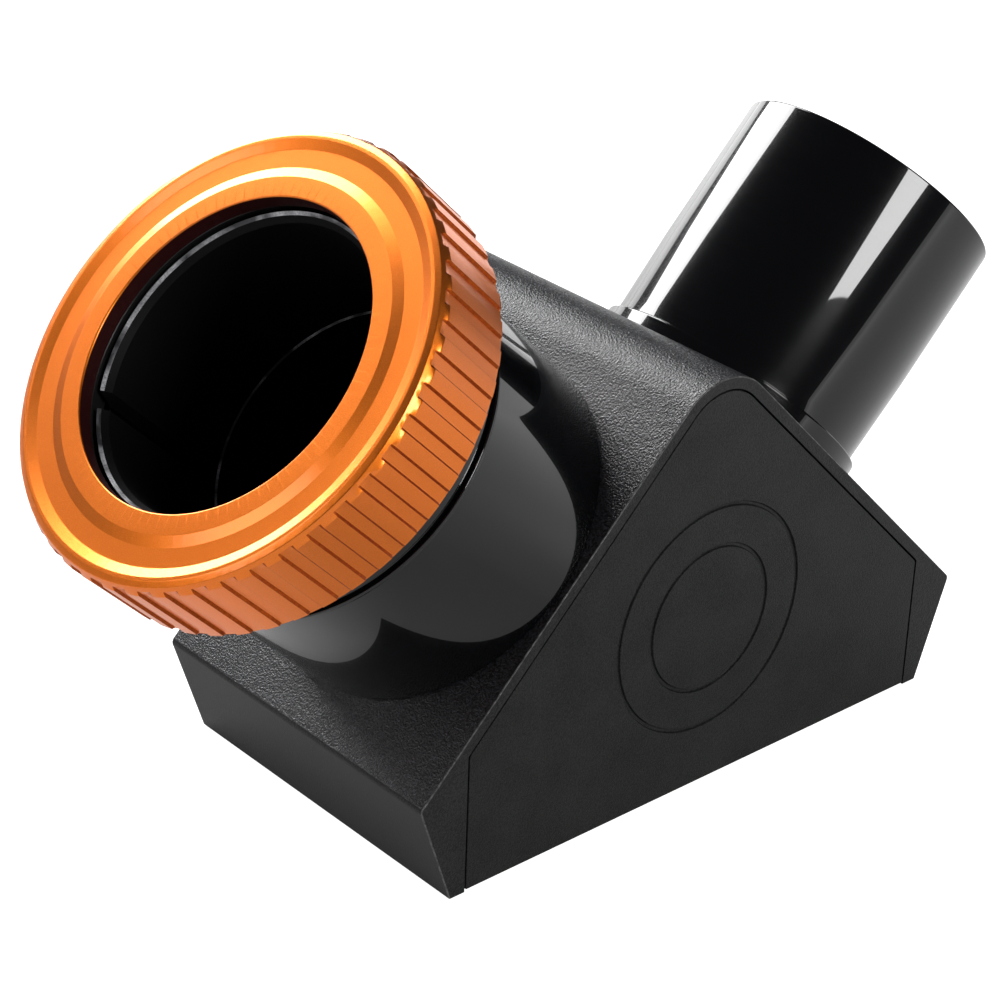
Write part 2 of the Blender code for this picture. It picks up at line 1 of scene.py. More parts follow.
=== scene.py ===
"""The looks of the mirror star diagonal: fine meshes, finishes, studio and camera around the CAD frame.

Sizes are in millimetres unless a name says otherwise. Each tube is turned about its own axis,
and heights along it are measured from the point where the two axes cross on the mirror.
"""

import math

import bmesh
import bpy
from mathutils import Matrix, Quaternion, Vector


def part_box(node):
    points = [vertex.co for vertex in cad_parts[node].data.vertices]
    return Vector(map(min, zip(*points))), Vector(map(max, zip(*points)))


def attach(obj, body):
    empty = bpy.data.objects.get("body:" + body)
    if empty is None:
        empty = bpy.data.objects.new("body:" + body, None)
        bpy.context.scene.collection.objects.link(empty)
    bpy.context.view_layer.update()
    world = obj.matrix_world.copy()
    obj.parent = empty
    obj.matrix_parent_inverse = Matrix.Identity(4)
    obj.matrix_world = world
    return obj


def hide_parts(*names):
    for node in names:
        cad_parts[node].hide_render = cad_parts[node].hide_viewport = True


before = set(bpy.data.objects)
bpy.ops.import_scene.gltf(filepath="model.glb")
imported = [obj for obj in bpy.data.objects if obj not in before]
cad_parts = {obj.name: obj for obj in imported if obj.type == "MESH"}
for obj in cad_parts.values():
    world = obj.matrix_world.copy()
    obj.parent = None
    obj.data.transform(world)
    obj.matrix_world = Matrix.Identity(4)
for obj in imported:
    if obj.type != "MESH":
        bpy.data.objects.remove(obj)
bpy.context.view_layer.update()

MM = 0.001
GAP = 0.3
OVERCUT = 1.0
SHARP_ANGLE = math.radians(40.0)

# Body prism
MIRROR_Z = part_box("mirror")[1].z / MM
HALF_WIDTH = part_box("body_frame")[1].y / MM
HALF_HYPOTENUSE = 82.6
CUT_ALONG_BASE = 26.2
CUT_HEIGHT = 19.6
APEX_RADIUS = 11.7
CORNER_RADIUS = 1.2
EDGE_ROUND = 0.2
LEG_WALL = 6.0
CAVITY_HALF_WIDTH = 27.0
CAVITY_HALF_LENGTH = 46.0
CAVITY_PEAK_FLAT = 3.0
CAVITY_OVERLAP = 0.5

# Side covers
COVER_INSET = 2.3
COVER_END_X = 53.1
COVER_SEAM = 0.35
COVER_THICKNESS = 2.0
COVER_LIFT = 0.45
COVER_EDGE_ROUND = 0.12
COVER_CORNER = 0.8
MEDALLION_Z = 33.0
MEDALLION_RADII = (21.0, 13.5)
MEDALLION_GROOVE = (0.7, 0.45)
MEDALLION_FLARE = 0.25
MEDALLION_SHOULDER = 0.15

# Tubes
LEG_FACE = (HALF_HYPOTENUSE - MIRROR_Z) / math.sqrt(2.0)
SPIGOT_START = LEG_FACE - LEG_WALL + 0.25
HOLDER_RADIUS = 33.0
HOLDER_SPIGOT = 29.0
EYEPIECE_BORE = 25.6
EYEPIECE_STOP_BORE = 24.2
EYEPIECE_STOP = 50.0
LIP_RADIUS = 34.4
LIP_TOP = 88.2
LIP_EDGE = 83.6
LIP_NECK = 81.0
LIP_GROOVE_RADIUS = 32.2
BEAD = 0.35
NECK_RADIUS = 31.5
NECK_TOP = 97.5
COLLET_SEAT_RADIUS = 29.3
COLLET_SEAT = 73.0
BORE_CHAMFER = 0.3
HOLDER_INSIDE = 28.9
NOSE_RADIUS = 25.4
NOSE_END = 98.3
NOSE_BORE = 23.0
NOSE_FILTER_BORE = 24.0
NOSE_FILTER_DEPTH = 6.0
NOSE_FILTER_STEP = 0.6
NOSE_INSIDE = 24.45
NOSE_SPIGOT = 24.6
NOSE_FLANGE = 26.3
NOSE_FLANGE_HEIGHT = 5.0
NOSE_TAPER_START = 70.0
NOSE_LAND = 2.2
NOSE_ROOT_RADIUS = 25.05
FILTER_START = 5.8
FILTER_PITCH = 0.75
FILTER_TURNS = 7
FILTER_THREAD_DEPTH = 0.32
FILTER_MOUTH = (0.35, 0.45)
GRUB_RADIUS = 1.25
GRUB_DEPTH = 31.5
GRUB_HEIGHT = LEG_FACE - 3.9
GRUB_POINT = (0.6, 0.3, 0.5)
GRUB_SOCKET = (0.75, 1.2)

# Mirror cell
PLATE_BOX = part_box("base_plate")
PAD_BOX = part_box("mirror_pad")
MIRROR_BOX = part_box("mirror")
GASKET_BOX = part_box("mirror_gasket")
WINDOW = (39.0, 24.5)
LEDGE_THICKNESS = 3.0
BASE_SCREW_PLACES = [(x, y) for x in (-46.5, 46.5) for y in (-20.0, 20.0)]
BASE_SCREW_RADIUS = 1.3
BASE_SCREW_HEAD = 2.8
BASE_SCREW_TOP = 9.8
BASE_SCREW_SINK = 0.2
BASE_SCREW_POINT = 0.4
BASE_SCREW_SOCKET = (1.0, 1.1)

# Twist lock
COLLAR_REAR = 90.4
COLLAR_FRONT = 107.4
COLLAR_TOOTH = 40.0
COLLAR_ROOT = 39.55
COLLAR_OPENING = 27.2
COLLAR_TEETH = 48
COLLAR_SHOULDER = 104.3
COLLAR_PHASE = math.radians(0.9)
FLANK_WIDTH = 0.05
# (place across the flank in flank widths, share of the tooth height)
FLANK_STEPS = ((-0.65, 0.0), (-0.45, 0.09), (0.0, 0.5), (0.45, 0.91), (0.65, 1.0))
TOOTH_END = 1.0
TOOTH_CHAMFER = 0.85
TOOTH_RUN_STEPS = 8
TOOTH_RUN_END = 0.15
REAR_RADIUS = 39.35
REAR_CHAMFER = 0.6
FACE_STEPS = (30.8, 32.65, 35.9, 37.6)
FACE_VALLEY = 0.5
RIM_EDGE = 38.2
RIM_RADIUS = 39.2
RIM_CHAMFER = 0.35
SHADED_WITHIN = 33.3
COLLAR_THREAD_BORE = 31.8
COLLAR_REAR_BORE = 32.6
COLLAR_REAR_STEP = 93.5
COLLET_OUTER = 29.0
COLLET_BORE = 25.75
COLLET_CONE_START = 97.8
COLLET_TIP = (27.1, 103.2)
COLLET_EDGE = 0.5
COLLET_EDGE_INSET = 0.05
COLLET_TIP_CHAMFER = 0.1
COLLET_LEAD_IN = 1.6
SLIP_CLEARANCE = 0.75
SLIP_WALL = 1.1
SLIP_SPAN = (98.9, 104.0)
SLIT_ANGLE = 125.5
SLIT_WIDTH = 3.2
RING_SECTION = 0.9
RING_CENTRE = (31.35, 91.4)
STOP_PIN_S = 95.4
STOP_PIN_RADIUS = 0.9
STOP_PIN_SPAN = (29.6, 33.2)
STOP_PIN_ANGLE = 200.0
LOCK_TURN = 90.0
LOCK_ADVANCE = 1.0
STOP_SLOT_DEPTH = 0.8
STOP_SLOT_MARGIN = 1.0
STOP_SLOT_STEPS = 40

# Faces round each kind of turned piece
TUBE_SEGMENTS = 240
LONG_TUBE_SEGMENTS = 288
GROOVE_SEGMENTS = 160
ROD_SEGMENTS = 96
SCREW_SEGMENTS = 64
PIN_SEGMENTS = 48
RING_SECTION_SEGMENTS = 20

# Camera
CAMERA_PLACE = (-313.03, -328.86, 278.65)
CAMERA_AIM = (-17.93, 0.0, 47.10)
CAMERA_ROLL = 2.06
CAMERA_LENS = 105.0
CAMERA_SENSOR = 36.0
CAMERA_CLIP = 0.02

# Floor, in metres, and how far from the middle its glow in reflections rises, in millimetres; the dimmer
# glow near the middle is painted shade
FLOOR_HALF = 4.0
FLOOR_DROP = 0.0002
FLOOR_GLOW_REACH = (250.0, 1100.0)
FLOOR_GLOW = (0.20, 0.95)

CROSSING = Matrix.Translation(Vector((0.0, 0.0, MIRROR_Z)) * MM)
EYEPIECE_AXIS = CROSSING @ Matrix.Rotation(math.radians(-45.0), 4, "Y")
NOSE_AXIS = CROSSING @ Matrix.Rotation(math.radians(45.0), 4, "Y")
UPRIGHT = Matrix.Identity(4)


def shift(x=0.0, y=0.0, z=0.0):
    """A move in millimetres."""
    return Matrix.Translation(Vector((x, y, z)) * MM)


# ---------------------------------------------------------------- finishes

class Finish:
    """A node material: a Principled shader and short calls for the textures that feed it."""

    def __init__(self, name, **constants):
        self.material = bpy.data.materials.new(name)
        self.material.use_nodes = True
        self.tree = self.material.node_tree
        self.shader = self.tree.nodes["Principled BSDF"]
        for socket, value in constants.items():
            self.shader.inputs[socket.replace("_", " ")].default_value = value

    def node(self, kind, **settings):
        made = self.tree.nodes.new("ShaderNode" + kind)
        for name, value in settings.items():
            setattr(made, name, value)
        return made

    def link(self, source, target):
        self.tree.links.new(source, target)

    def feed(self, source, socket):
        self.link(source, self.shader.inputs[socket])

    def place(self, stretch=(1.0, 1.0, 1.0), axis=UPRIGHT):
        """Object coordinates in millimetres, turned into the frame of an axis."""
        coordinates = self.node("TexCoord")
        mapping = self.node("Mapping", vector_type="POINT")
        inverse = axis.inverted()
        mapping.inputs["Rotation"].default_value = inverse.to_euler()
        mapping.inputs["Location"].default_value = inverse.translation / MM
        scaled = self.node("VectorMath", operation="SCALE")
        scaled.inputs["Scale"].default_value = 1.0 / MM
        self.link(coordinates.outputs["Object"], scaled.inputs[0])
        self.link(scaled.outputs[0], mapping.inputs["Vector"])
        return self.stretch(mapping.outputs[0], stretch)

    def stretch(self, vector, factors):
        stretched = self.node("VectorMath", operation="MULTIPLY")
        stretched.inputs[1].default_value = factors
        self.link(vector, stretched.inputs[0])
        return stretched.outputs[0]

    def around(self, axis):
        """(angle round the axis, radius, height along it), for marks left by a lathe."""
        split = self.node("SeparateXYZ")
        self.link(self.place(axis=axis), split.inputs[0])
        angle = self.math("ARCTAN2", split.outputs["Y"], split.outputs["X"])
        squares = [self.math("POWER", split.outputs[side], 2.0) for side in ("X", "Y")]
        radius = self.math("SQRT", self.math("ADD", *squares))
        joined = self.node("CombineXYZ")
        for source, socket in ((angle, "X"), (radius, "Y"), (split.outputs["Z"], "Z")):
            self.link(source, joined.inputs[socket])
        return joined.outputs[0]

    def math(self, operation, first, second=None):
        made = self.node("Math", operation=operation)
        for socket, value in zip(made.inputs, (first, second)):
            if isinstance(value, bpy.types.NodeSocket):
                self.link(value, socket)
            elif value is not None:
                socket.default_value = value
        return made.outputs[0]

    def noise(self, vector, size, detail=2.0, roughness=0.5):
        """Noise whose features are about size millimetres across, from 0 to 1."""
        made = self.node("TexNoise")
        made.inputs["Scale"].default_value = 1.0 / size
        made.inputs["Detail"].default_value = detail
        made.inputs["Roughness"].default_value = roughness
        self.link(vector, made.inputs["Vector"])
        return made.outputs["Fac"]

    def cells(self, vector, size):
        """Distance to the middle of the nearest cell, where cells are about size millimetres across."""
        made = self.node("TexVoronoi", feature="F1")
        made.inputs["Scale"].default_value = 1.0 / size
        self.link(vector, made.inputs["Vector"])
        return made.outputs["Distance"]

    def remap(self, value, low, high, to_low, to_high):
        made = self.node("MapRange", clamp=True)
        for socket, number in zip(made.inputs[1:5], (low, high, to_low, to_high)):
            socket.default_value = number
        self.link(value, made.inputs["Value"])
        return made.outputs[0]

    def mix(self, factor, first, second):
        made = self.node("Mix", data_type="RGBA")
        self.link(factor, made.inputs["Factor"])
        for socket, value in ((made.inputs[6], first), (made.inputs[7], second)):
            if isinstance(value, bpy.types.NodeSocket):
                self.link(value, socket)
            else:
                socket.default_value = (*value, 1.0)
        return made.outputs[2]

    def bump(self, height, distance):
        """distance is the height in millimetres that a value of 1 stands for."""
        made = self.node("Bump")
        made.inputs["Distance"].default_value = distance * MM
        made.inputs["Strength"].default_value = 1.0
        self.link(height, made.inputs["Height"])
        return made.outputs[0]


def grained(name, grain_shape, dark, light, roughness, relief, **constants):
    """A finish whose colour, gloss and relief all follow one grain of (size, detail, roughness)."""
    made = Finish(name, **constants)
    grain = made.noise(made.place(), *grain_shape)
    made.feed(made.mix(grain, dark, light), "Base Color")
    made.feed(made.remap(grain, 0.3, 0.7, *roughness), "Roughness")
    made.feed(made.bump(grain, relief), "Normal")
    return made.material


def powder_coat():
    """Black powder coat with a fine sand texture whose grains glint."""
    made = Finish("powder_coat_sand", Metallic=0.0, Specular_IOR_Level=0.5)
    place = made.place()
    grain = made.noise(place, 0.33, detail=2.0, roughness=0.6)
    pits = made.cells(place, 0.4)
    patches = made.noise(place, 14.0)
    flecks = made.remap(grain, 0.46, 0.60, 0.0, 1.0)
    tone = made.mix(flecks, (0.0010, 0.0010, 0.0014), (0.042, 0.044, 0.051))
    worn = made.remap(patches, 0.3, 0.7, 0.0, 0.2)
    made.feed(made.mix(worn, tone, (0.010, 0.010, 0.012)), "Base Color")
    made.feed(made.remap(grain, 0.35, 0.65, 0.46, 0.24), "Roughness")
    relief = made.math("ADD", grain, made.math("MULTIPLY", pits, 0.4))
    made.feed(made.bump(relief, 0.14), "Normal")
    return made.material


def satin_paint(name, dark, light, grain_size, relief):
    """Smooth paint with a very fine orange-peel grain and slow changes of tone."""
    made = Finish(name, Metallic=0.0, Specular_IOR_Level=0.22)
    place = made.place()
    grain = made.noise(place, grain_size, detail=2.0)
    cloud = made.noise(place, 9.0, detail=3.0)
    blend = made.math("ADD", made.math("MULTIPLY", grain, 0.75), made.math("MULTIPLY", cloud, 0.25))
    made.feed(made.mix(made.remap(blend, 0.35, 0.65, 0.0, 1.0), dark, light), "Base Color")
    made.feed(made.remap(blend, 0.3, 0.7, 0.40, 0.52), "Roughness")
    made.feed(made.bump(grain, relief), "Normal")
    return made.material


def gloss_black(name, axis):
    """Polished black anodising: a mirror-smooth top over faint marks left by turning and wiping."""
    made = Finish(
        name, Metallic=0.0, Specular_IOR_Level=0.08, Coat_Weight=1.0, Coat_Roughness=0.02, Coat_IOR=1.5
    )
    turned = made.around(axis)
    hairs = made.noise(made.stretch(turned, (1.6, 9.0, 9.0)), 1.0, detail=4.0, roughness=0.7)
    haze = made.noise(made.place(), 6.0, detail=3.0)
    made.feed(made.mix(haze, (0.0008, 0.0009, 0.0012), (0.0018, 0.0020, 0.0026)), "Base Color")
    made.feed(made.remap(hairs, 0.3, 0.7, 0.14, 0.26), "Roughness")
    made.feed(made.bump(hairs, 0.0015), "Normal")
    return made.material


def bore_black(name):
    """Flat black inside a tube, which swallows stray light."""
    dark, light = (0.0012, 0.0012, 0.0014), (0.0035, 0.0035, 0.0040)
    grain = (0.2, 2.0, 0.5)
    return grained(name, grain, dark, light, (0.5, 0.68), 0.01, Metallic=0.0, Specular_IOR_Level=0.15)


def orange_anodised():
    """Bead-blasted aluminium, dyed orange: a satin metal with a fine grain."""
    made = Finish(
        "orange_anodised",
        Metallic=1.0,
        Specular_IOR_Level=0.5,
        Coat_Weight=0.5,
        Coat_Roughness=0.15,
        Coat_IOR=1.5,
    )
    place = made.place()
    grain = made.noise(place, 0.16, detail=2.0)
    cloud = made.noise(place, 11.0, detail=3.0)
    tone = made.mix(made.remap(grain, 0.3, 0.7, 0.0, 1.0), (0.84, 0.185, 0.014), (0.98, 0.245, 0.025))
    drift = made.remap(cloud, 0.3, 0.7, 0.0, 0.4)
    made.feed(made.mix(drift, tone, (0.92, 0.205, 0.018)), "Base Color")
    made.feed(made.remap(grain, 0.3, 0.7, 0.32, 0.44), "Roughness")
    made.feed(made.bump(grain, 0.008), "Normal")
    return made.material


def shaded_wall():
    """The wall inside the opening, coloured dark maroon as painted shade."""
    dark, light = (0.022, 0.004, 0.005), (0.075, 0.012, 0.012)
    grain = (0.3, 3.0, 0.5)
    return grained(
        "shaded_wall", grain, dark, light, (0.42, 0.55), 0.008, Metallic=0.6, Specular_IOR_Level=0.3
    )


def painted_shade_flank():
    """The steep sides of the grip's grooves, darkened as painted shade and mottled by a noise."""
    made = Finish("painted_shade_flank", Metallic=1.0, Specular_IOR_Level=0.5)
    flank_mottle = made.noise(made.place(), 0.5, detail=4.0, roughness=0.6)
    less_shaded = made.remap(flank_mottle, 0.3, 0.7, 0.0, 1.0)
    made.feed(made.mix(less_shaded, (0.30, 0.045, 0.006), (0.55, 0.11, 0.014)), "Base Color")
    made.feed(made.remap(flank_mottle, 0.3, 0.7, 0.45, 0.6), "Roughness")
    made.feed(made.bump(flank_mottle, 0.01), "Normal")
    return made.material


def painted_highlight_edge():
    """A narrow turned edge, coloured light grey in patches as a painted highlight."""
    made = Finish("painted_highlight_edge", Metallic=0.3, Specular_IOR_Level=0.5)
    place = made.place()
    edge_grain = made.noise(place, 0.35, detail=4.0, roughness=0.65)
    highlight_patches = made.remap(made.noise(place, 7.0, detail=2.0), 0.42, 0.58, 0.0, 1.0)
    painted_highlight_tone = made.mix(made.remap(edge_grain, 0.35, 0.65, 0.0, 1.0), (0.40, 0.40, 0.42), (0.85, 0.85, 0.88))
    made.feed(made.mix(highlight_patches, (0.05, 0.05, 0.055), painted_highlight_tone), "Base Color")
    made.feed(made.remap(edge_grain, 0.3, 0.7, 0.25, 0.4), "Roughness")
    made.feed(made.bump(edge_grain, 0.004), "Normal")
    return made.material


def rubbed_and_highlit_edge():
    """Paint thinned along an edge that hands rub, and made lighter there as a painted highlight."""
    made = Finish("rubbed_and_highlit_edge", Metallic=0.0, Specular_IOR_Level=0.5)
    rub = made.noise(made.place(), 1.1, detail=5.0, roughness=0.7)
    rubbed_and_highlit = made.remap(rub, 0.4, 0.65, 0.0, 1.0)
    made.feed(made.mix(rubbed_and_highlit, (0.030, 0.030, 0.031), (0.15, 0.15, 0.15)), "Base Color")
    made.feed(made.remap(rub, 0.3, 0.7, 0.55, 0.42), "Roughness")
    made.feed(made.bump(rub, 0.03), "Normal")
    return made.material


def nylon():
    """Moulded black nylon with a faint sheen."""
    dark, light = (0.006, 0.006, 0.006), (0.016, 0.016, 0.016)
    grain = (0.3, 3.0, 0.5)
    return grained(
        "black_nylon", grain, dark, light, (0.28, 0.42), 0.01, Metallic=0.0, Specular_IOR_Level=0.5
    )


def rubber():
    """Dull black seal rubber."""
    dark, light = (0.008, 0.008, 0.008), (0.022, 0.022, 0.022)
    grain = (0.25, 3.0, 0.5)
    return grained("rubber", grain, dark, light, (0.6, 0.78), 0.02, Metallic=0.0, Specular_IOR_Level=0.35)


def felt():
    """Grey felt with its fibres combed one way."""
    made = Finish("felt", Metallic=0.0, Specular_IOR_Level=0.2, Sheen_Weight=0.4, Sheen_Roughness=0.5)
    fibres = made.noise(made.place((1.0, 4.0, 1.0)), 0.5, detail=5.0, roughness=0.7)
    made.feed(made.mix(fibres, (0.02, 0.02, 0.022), (0.09, 0.09, 0.095)), "Base Color")
    made.feed(made.remap(fibres, 0.3, 0.7, 0.85, 1.0), "Roughness")
    made.feed(made.bump(fibres, 0.1), "Normal")
    return made.material


def mirror_coating():
    """Aluminised glass with a few specks of dust."""
    made = Finish("mirror_coating", Metallic=1.0, Specular_IOR_Level=0.5)
    dust = made.noise(made.place(), 0.6, detail=6.0, roughness=0.8)
    specks = made.remap(dust, 0.62, 0.72, 0.0, 1.0)
    made.feed(made.mix(specks, (0.90, 0.92, 0.93), (0.80, 0.82, 0.82)), "Base Color")
    made.feed(made.remap(specks, 0.0, 1.0, 0.015, 0.12), "Roughness")
    return made.material


def blackened_steel():
    """Oiled black steel, patchy where the oxide is thin."""
    dark, light = (0.025, 0.025, 0.027), (0.09, 0.088, 0.085)
    grain = (0.35, 4.0, 0.6)
    return grained(
        "blackened_steel", grain, dark, light, (0.28, 0.45), 0.008, Metallic=0.85, Specular_IOR_Level=0.5
    )


# ---------------------------------------------------------------- mesh tools

def mesh_from(bm, name, finishes, smooth_angle=35.0):
    bmesh.ops.recalc_face_normals(bm, faces=bm.faces)
    mesh = bpy.data.meshes.new(name)
    bm.to_mesh(mesh)
    bm.free()
    for finish in finishes:
        mesh.materials.append(finish)
    mesh.shade_smooth()
    mesh.set_sharp_from_angle(angle=math.radians(smooth_angle))
    return mesh


def add_object(name, mesh):
    obj = bpy.data.objects.new(name, mesh)
    bpy.context.scene.collection.objects.link(obj)
    return obj


def stand_for(obj, body, slot, *nodes):
    """Puts a finished piece into the assembly, in place of its CAD nodes."""
    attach(obj, body)
    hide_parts(*nodes)
    return obj


def fillet(before, corner, after, radius, steps):
    """Points of the arc of this radius that rounds a corner of an outline."""
    corner = Vector(corner)
    back = (Vector(before) - corner).normalized()
    ahead = (Vector(after) - corner).normalized()
    half = back.angle(ahead) / 2.0
    centre = corner + (back + ahead).normalized() * radius / math.sin(half)
    start = corner + back * radius / math.tan(half) - centre
    turn = math.pi - 2.0 * half
    if back.x * ahead.y - back.y * ahead.x > 0.0:
        turn = -turn
    arc = []
    for step in range(steps + 1):
        angle = turn * step / steps
        arc.append(
            (
                centre.x + start.x * math.cos(angle) - start.y * math.sin(angle),
                centre.y + start.x * math.sin(angle) + start.y * math.cos(angle),
            )
        )
    return arc


def rounded(corners, steps=4):
    """An outline from corners: (x, z) stays sharp, (x, z, radius) or (x, z, radius, steps) is rounded."""
    outline = []
    for index, corner in enumerate(corners):
        point = corner[:2]
        radius = corner[2] if len(corner) > 2 else 0.0
        count = corner[3] if len(corner) > 3 else steps
        if radius:
            before = corners[index - 1][:2]
            after = corners[(index + 1) % len(corners)][:2]
            outline += fillet(before, point, after, radius, count)
        else:
            outline.append(point)
    return outline


def turned(name, corners, finishes, axis=UPRIGHT, segments=TUBE_SEGMENTS, inside=None):
    """A closed (radius, height) outline turned about an axis.

    Faces nearer to the axis than the radius inside take the second finish.
    """
    outline = rounded(corners)
    bm = bmesh.new()
    columns = []
    for step in range(segments):
        angle = 2.0 * math.pi * step / segments
        turn = Matrix.Rotation(angle, 4, "Z")
        columns.append([bm.verts.new(turn @ (Vector((r, 0.0, z)) * MM)) for r, z in outline])
    for left, right in zip(columns, columns[1:] + columns[:1]):
        for low, high in zip(range(len(outline)), list(range(1, len(outline))) + [0]):
            face = bm.faces.new((left[low], left[high], right[high], right[low]))
            if inside is not None:
                middle = face.calc_center_median()
                face.material_index = int(math.hypot(middle.x, middle.y) < inside * MM)
    bmesh.ops.remove_doubles(bm, verts=bm.verts, dist=1e-7)
    bm.transform(axis)
    return add_object(name, mesh_from(bm, name, finishes))


def prism(name, outline, near, far, finishes, edge_round=0.0, edge_finish=-1, edge_faces=None):
    """An (x, z) outline extruded along Y, with its sharp edges rounded."""
    bm = bmesh.new()
    face = bm.faces.new([bm.verts.new((x * MM, near * MM, z * MM)) for x, z in outline])
    swept = bmesh.ops.extrude_face_region(bm, geom=[face])
    moved = [item for item in swept["geom"] if isinstance(item, bmesh.types.BMVert)]
    bmesh.ops.translate(bm, verts=moved, vec=(0.0, (far - near) * MM, 0.0))
    bmesh.ops.recalc_face_normals(bm, faces=bm.faces)
    if edge_round:
        sharp = [edge for edge in bm.edges if edge.calc_face_angle() > math.radians(30.0)]
        bmesh.ops.bevel(
            bm,
            geom=sharp,
            offset=edge_round * MM,
            offset_type="OFFSET",
            segments=3,
            profile=0.5,
            affect="EDGES",
            material=edge_finish,
        )
    return add_object(name, mesh_from(bm, name, finishes))


def box(name, half_x, half_y, low, high, finishes=(), edge_round=0.0):
    outline = ((-half_x, low), (half_x, low), (half_x, high), (-half_x, high))
    return prism(name, outline, -half_y, half_y, finishes, edge_round)


def rod(name, radius, low, high, segments=ROD_SEGMENTS):
    corners = ((0.0, low), (radius, low), (radius, high), (0.0, high))
    return turned(name, corners, (), segments=segments)


def cut(obj, tools):
    """Takes each tool out of the object and then deletes the tools."""
    for tool in tools:
        step = obj.modifiers.new(tool.name, "BOOLEAN")
        step.operation = "DIFFERENCE"
        step.solver = "EXACT"
        step.object = tool
    bpy.context.view_layer.update()
    graph = bpy.context.evaluated_depsgraph_get()
    mesh = bpy.data.meshes.new_from_object(obj.evaluated_get(graph))
    obj.modifiers.clear()
    obj.data = mesh
    for tool in tools:
        bpy.data.objects.remove(tool, do_unlink=True)
    return obj


def even_shading(obj):
    """Keeps flat faces flat beside their rounded edges."""
    obj.data.shade_smooth()
    obj.data.set_sharp_from_angle(angle=SHARP_ANGLE)
    weigh = obj.modifiers.new("even_shading", "WEIGHTED_NORMAL")
    weigh.keep_sharp = True
    weigh.weight = 100


# ---------------------------------------------------------------- body and covers

def body_outline():
    base_x = HALF_HYPOTENUSE - CUT_ALONG_BASE
    corner_x = HALF_HYPOTENUSE - CUT_HEIGHT
    return rounded(
        (
            (-base_x, 0.0),
            (base_x, 0.0),
            (corner_x, CUT_HEIGHT, CORNER_RADIUS, 6),
            (0.0, HALF_HYPOTENUSE, APEX_RADIUS, 40),
            (-corner_x, CUT_HEIGHT, CORNER_RADIUS, 6),
        )
    )


def cover_outline(offset, bottom):
    end_x = COVER_END_X + offset
    peak = HALF_HYPOTENUSE - (COVER_INSET - offset) * math.sqrt(2.0)
    return rounded(
        (
            (-end_x, bottom),
            (end_x, bottom),
            (end_x, peak - end_x, COVER_CORNER),
            (0.0, peak, APEX_RADIUS - COVER_INSET + offset, 40),
            (-end_x, peak - end_x, COVER_CORNER),
        )
    )


def cavity_outline(floor):
    peak = HALF_HYPOTENUSE - LEG_WALL * math.sqrt(2.0)
    flat = CAVITY_PEAK_FLAT
    return (
        (-CAVITY_HALF_LENGTH, floor),
        (CAVITY_HALF_LENGTH, floor),
        (CAVITY_HALF_LENGTH, peak - CAVITY_HALF_LENGTH),
        (flat, peak - flat),
        (-flat, peak - flat),
        (-CAVITY_HALF_LENGTH, peak - CAVITY_HALF_LENGTH),
    )


def make_body(sand, satin, worn):
    gasket = GASKET_BOX[1] / MM
    plate = PLATE_BOX[1] / MM
    ledge_low = gasket.z + GAP
    ledge_high = ledge_low + LEDGE_THICKNESS
    # The bevels take the third finish: rubbed paint, lighter also as a painted highlight.
    body = prism(
        "body_casting", body_outline(), -HALF_WIDTH, HALF_WIDTH, (satin, sand, worn), EDGE_ROUND, 2
    )
    for face in body.data.polygons:
        if face.material_index == 0 and face.normal.z > 0.6 and abs(face.normal.y) < 0.1:
            face.material_index = 1
    width = CAVITY_HALF_WIDTH
    tools = [
        prism("cavity_tool", cavity_outline(ledge_high - CAVITY_OVERLAP), -width, width, ()),
        box("window_tool", *WINDOW, ledge_low - OVERCUT, ledge_high + OVERCUT),
        box("pocket_tool", gasket.x + 0.5, width, OVERCUT, ledge_low),
        box("recess_tool", plate.x + GAP, plate.y + GAP, -OVERCUT, plate.z + GAP),
    ]
    for name, axis, radius in (
        ("holder_socket_tool", EYEPIECE_AXIS, HOLDER_SPIGOT + GAP),
        ("nose_socket_tool", NOSE_AXIS, NOSE_SPIGOT + GAP),
    ):
        low, high = LEG_FACE - LEG_WALL - OVERCUT, LEG_FACE + LEG_WALL
        bore = rod(name, radius, low, high, TUBE_SEGMENTS)
        bore.data.transform(axis)
        tools.append(bore)
        for side in (-1, 1):
            hole = rod("grub_tool", GRUB_RADIUS + GAP, radius - 2.0 * OVERCUT, HALF_WIDTH, PIN_SEGMENTS)
            hole.data.transform(axis @ grub_turn(side))
            tools.append(hole)
    for x, y in BASE_SCREW_PLACES:
        radius, high = BASE_SCREW_RADIUS + GAP, BASE_SCREW_TOP + 2.0 * GAP
        hole = rod("base_screw_tool", radius, OVERCUT, high, PIN_SEGMENTS)
        hole.data.transform(shift(x, y))
        tools.append(hole)
    for side in (-1.0, 1.0):
        floor = HALF_WIDTH - COVER_THICKNESS - GAP
        reach = sorted((side * floor, side * (HALF_WIDTH + 2.0 * OVERCUT)))
        outline = cover_outline(COVER_SEAM / 2.0, -2.0 * OVERCUT)
        tools.append(prism("cover_pocket_tool", outline, *reach, ()))
    cut(body, tools)
    even_shading(body)
    stand_for(body, "housing", "powder_coat", "body_frame")


def grub_turn(side):
    """Lays local Z along the width, at the height of the grub screws."""
    return shift(z=GRUB_HEIGHT) @ Matrix.Rotation(-side * math.pi / 2.0, 4, "X")


